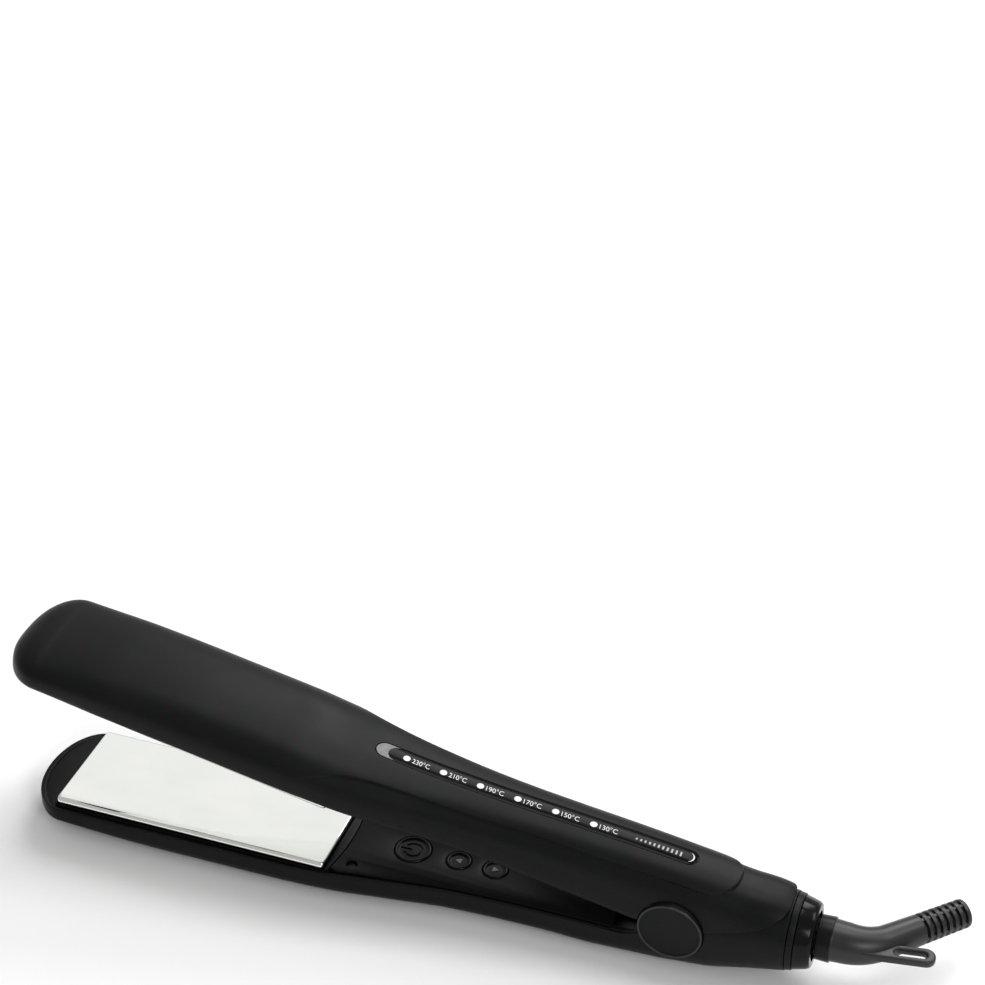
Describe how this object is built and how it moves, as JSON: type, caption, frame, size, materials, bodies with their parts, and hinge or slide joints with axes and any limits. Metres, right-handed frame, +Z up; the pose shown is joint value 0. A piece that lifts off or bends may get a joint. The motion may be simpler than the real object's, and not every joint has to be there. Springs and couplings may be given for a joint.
{
  "type": "flat iron",
  "caption": "Hair straightener with two hinged arms, floating mirror plates, a display strip on top, buttons inside the lower arm and a swivelling cord boot with a hanging loop.",
  "frame": {"origin": "centre of the iron's bounding box, on the flat that the lower arm stands on", "axes": "+X along the lower arm towards the cord, +Z up; the buttons and the lower plate face +Z, and the cord boot turns off towards +Y"},
  "size_m": [0.3262, 0.0516, 0.0748],
  "materials": {
    "soft_touch_black": "soft-touch matte, fine grain",
    "gloss_black": "gloss",
    "heat_resistant_black": "matte",
    "mirror_plate": "polished to a mirror",
    "light_pipe": "satin, translucent",
    "rubber_black": "matte",
    "circuit_board": "solder mask",
    "steel": "plain",
    "brass": "plain",
    "ceramic_white": "matte",
    "silicone_red": "matte",
    "lead_sleeve": "satin",
    "black_steel": "blackened",
    "switch_black": "satin"
  },
  "bodies": {
    "lower_arm": {"lower_housing": "soft_touch_black", "lower_inner_cover": "soft_touch_black", "lower_plate_holder": "heat_resistant_black", "lower_front_cushion": "silicone_red", "lower_rear_cushion": "silicone_red", "main_board": "circuit_board", "power_switch": "switch_black", "temp_up_switch": "switch_black", "temp_down_switch": "switch_black", "film_capacitor": "ceramic_white", "lower_cover_screw_near": "black_steel", "lower_cover_screw_far": "black_steel", "lower_hinge_frame": "black_steel", "hinge_pin": "steel", "hinge_cap_near": "gloss_black", "hinge_cap_far": "gloss_black", "hinge_washer_near": "brass", "hinge_washer_far": "brass", "opening_spring": "steel", "tail_collar": "soft_touch_black", "tail_band": "gloss_black", "swivel_sleeve": "heat_resistant_black", "contact_brush_1": "brass", "contact_brush_2": "brass", "supply_lead_live": "lead_sleeve", "supply_lead_neutral": "lead_sleeve", "arm_to_arm_lead": "lead_sleeve"},
    "lower_plate": {"lower_heater_plate": "mirror_plate", "lower_heater_element": "ceramic_white", "lower_thermistor": "ceramic_white"},
    "upper_arm": {"upper_housing": "soft_touch_black", "upper_inner_cover": "soft_touch_black", "upper_plate_holder": "heat_resistant_black", "upper_front_cushion": "silicone_red", "upper_rear_cushion": "silicone_red", "upper_cover_screw_near": "black_steel", "upper_cover_screw_far": "black_steel", "upper_hinge_frame": "black_steel", "indicator_board": "circuit_board", "display_window": "gloss_black", "indicator_light_1": "light_pipe", "indicator_light_2": "light_pipe", "indicator_light_3": "light_pipe", "indicator_light_4": "light_pipe", "indicator_light_5": "light_pipe", "indicator_light_6": "light_pipe"},
    "upper_plate": {"upper_heater_plate": "mirror_plate", "upper_heater_element": "ceramic_white", "upper_thermal_fuse": "steel"},
    "power_key": {"power_button": "gloss_black"},
    "temp_up_key": {"temp_up_button": "gloss_black"},
    "temp_down_key": {"temp_down_button": "gloss_black"},
    "cord_swivel": {"swivel_spindle": "switch_black", "slip_ring_1": "brass", "slip_ring_2": "brass", "strain_relief_boot": "rubber_black"}
  },
  "joints": [
    {"name": "arm_hinge", "type": "hinge", "parent": "lower_arm", "child": "upper_arm", "pos_m": [0.07247, -0.00351, 0.0184], "axis": [0, -1, 0], "range_deg": [0, 11.7], "stiffness_Nm_per_rad": 0.5, "springref_deg": -28.65, "deforming": ["opening_spring", "arm_to_arm_lead"]},
    {"name": "lower_plate_float", "type": "slide", "parent": "lower_arm", "child": "lower_plate", "axis": [0, 0, -1], "range_m": [0, 0.0008], "stiffness_N_per_m": 3000, "springref_m": -0.0005, "deforming": ["lower_front_cushion", "lower_rear_cushion"]},
    {"name": "upper_plate_float", "type": "slide", "parent": "upper_arm", "child": "upper_plate", "axis": [0.2028, 0, 0.9792], "range_m": [0, 0.0008], "stiffness_N_per_m": 3000, "springref_m": -0.0005, "deforming": ["upper_front_cushion", "upper_rear_cushion"]},
    {"name": "power_press", "type": "slide", "parent": "lower_arm", "child": "power_key", "axis": [0, 0, -1], "range_m": [0, 0.0005], "stiffness_N_per_m": 400, "springref_m": -0.0005},
    {"name": "temp_up_press", "type": "slide", "parent": "lower_arm", "child": "temp_up_key", "axis": [0, 0, -1], "range_m": [0, 0.0005], "stiffness_N_per_m": 400, "springref_m": -0.0005},
    {"name": "temp_down_press", "type": "slide", "parent": "lower_arm", "child": "temp_down_key", "axis": [0, 0, -1], "range_m": [0, 0.0005], "stiffness_N_per_m": 400, "springref_m": -0.0005},
    {"name": "cord_swivel_turn", "type": "hinge", "parent": "lower_arm", "child": "cord_swivel", "pos_m": [0.11757, -0.00351, 0.018], "axis": [1, 0, 0], "continuous": true}
  ]
}
